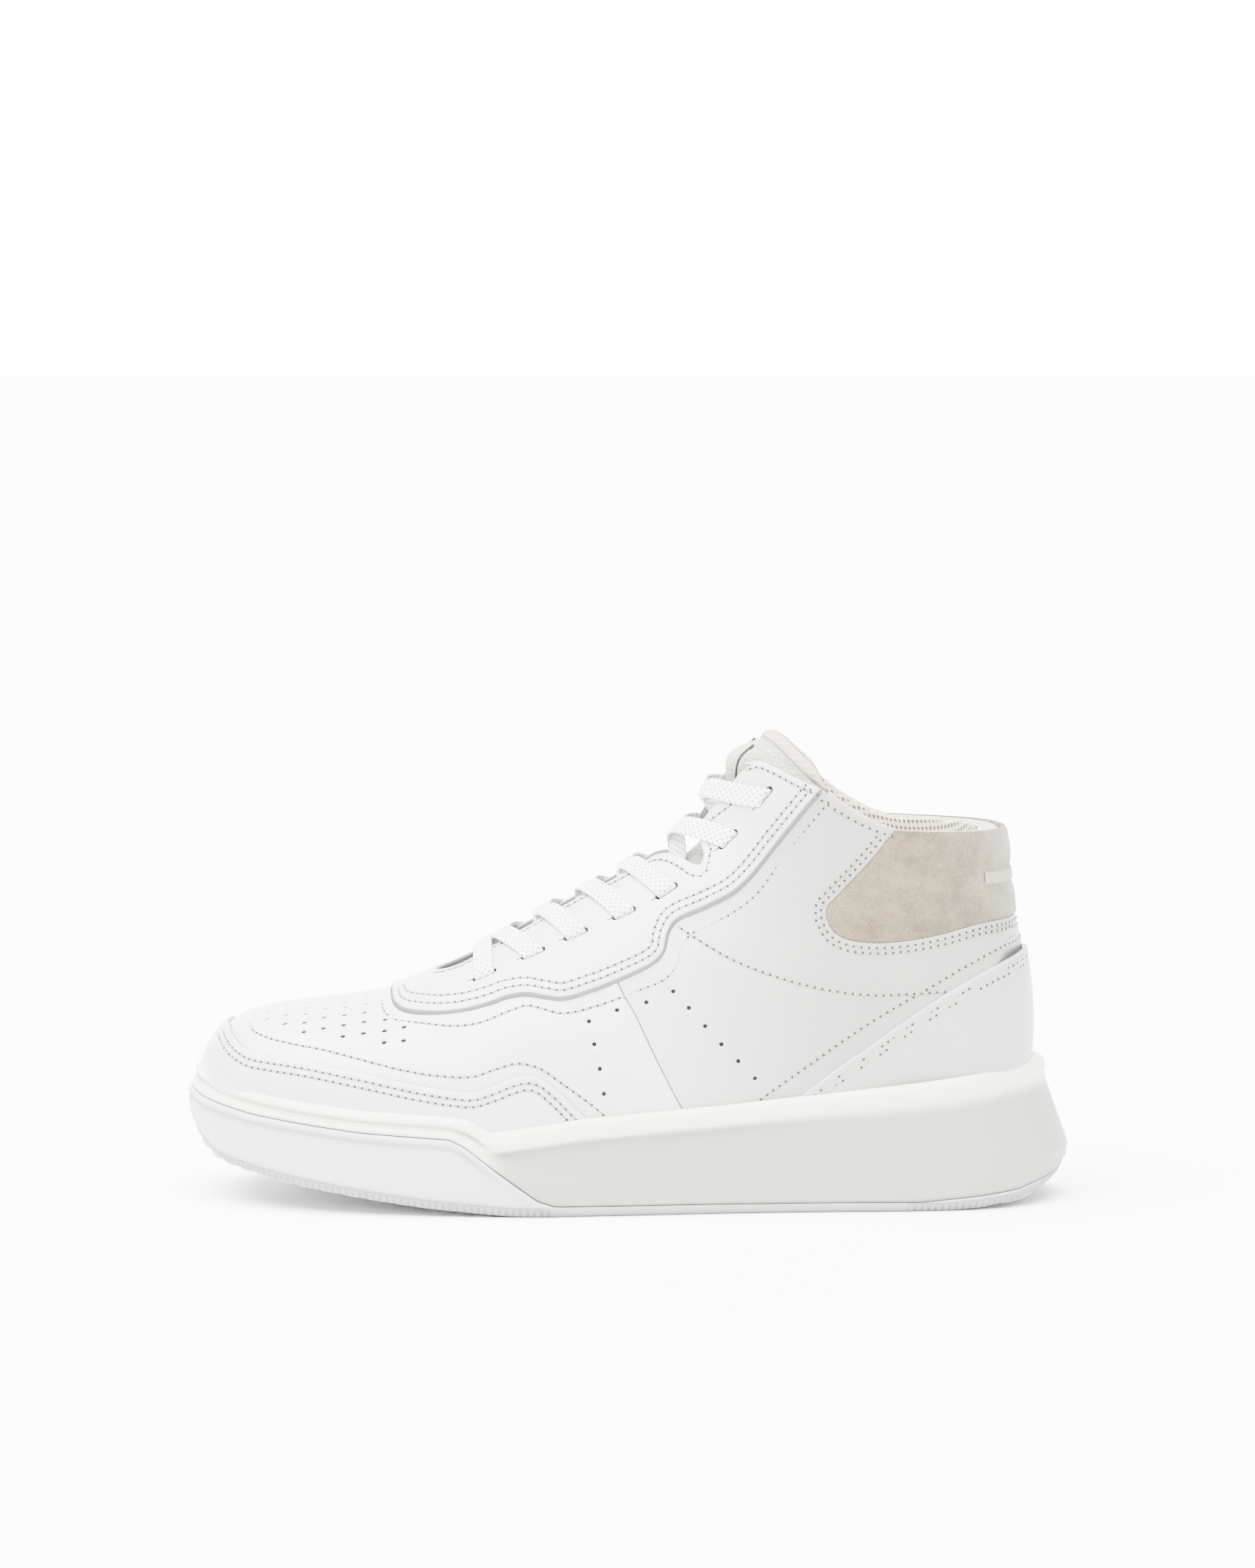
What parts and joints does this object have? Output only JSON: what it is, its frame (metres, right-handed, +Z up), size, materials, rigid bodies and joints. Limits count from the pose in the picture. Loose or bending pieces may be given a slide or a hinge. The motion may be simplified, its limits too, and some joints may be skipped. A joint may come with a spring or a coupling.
{
  "type": "basketball high top",
  "caption": "Left high-top court shoe: leather upper with padded suede collar, laced tongue and rubber cup sole.",
  "frame": {"origin": "middle of the shoe's box, on the ground under the outsole", "axes": "+X to the heel, -Y to the lateral (little toe) side, +Z up"},
  "size_m": [0.305, 0.1134, 0.1599],
  "materials": {
    "white_leather": "smooth full grain leather, satin",
    "label_leather": "smooth leather strip",
    "suede": "napped suede",
    "lining_textile": "spacer mesh lining and rolled binding",
    "inner_foam": "open cell foam",
    "board": "non-woven fibre board and stiffeners",
    "midsole_foam": "moulded polyurethane, matt",
    "rubber": "moulded rubber, matt",
    "thread": "polyester thread",
    "lace_cotton": "flat woven lace",
    "aglet_plastic": "clear rolled tip"
  },
  "bodies": {
    "shoe": {"outsole": "rubber", "midsole": "midsole_foam", "insole_board": "board", "toe_puff": "board", "heel_counter": "board", "vamp": "white_leather", "mudguard": "white_leather", "rear_quarter_lateral": "white_leather", "rear_quarter_medial": "white_leather", "eyestay": "white_leather", "eyestay_backing_lateral": "board", "eyestay_backing_medial": "board", "heel_foxing": "white_leather", "collar_suede": "suede", "collar_foam": "inner_foam", "collar_binding": "lining_textile", "heel_bartack": "thread", "vamp_lining": "lining_textile", "quarter_lining_lateral": "lining_textile", "quarter_lining_medial": "lining_textile", "lace": "lace_cotton", "aglet_lateral": "aglet_plastic", "aglet_medial": "aglet_plastic"},
    "tongue": {"tongue_leather": "white_leather", "tongue_foam": "inner_foam", "tongue_lining": "lining_textile", "tongue_binding": "lining_textile", "tongue_label": "label_leather"},
    "footbed": {"footbed_foam": "inner_foam", "footbed_cover": "lining_textile"}
  },
  "joints": [
    {"name": "tongue_swing", "type": "hinge", "parent": "shoe", "child": "tongue", "pos_m": [-0.066, 0, 0.07], "axis": [0, 1, 0], "range_deg": [0, 10]},
    {"name": "footbed_lift", "type": "hinge", "parent": "shoe", "child": "footbed", "pos_m": [-0.1405, 0, 0.0375], "axis": [0, -1, 0], "range_deg": [0, 7]}
  ]
}
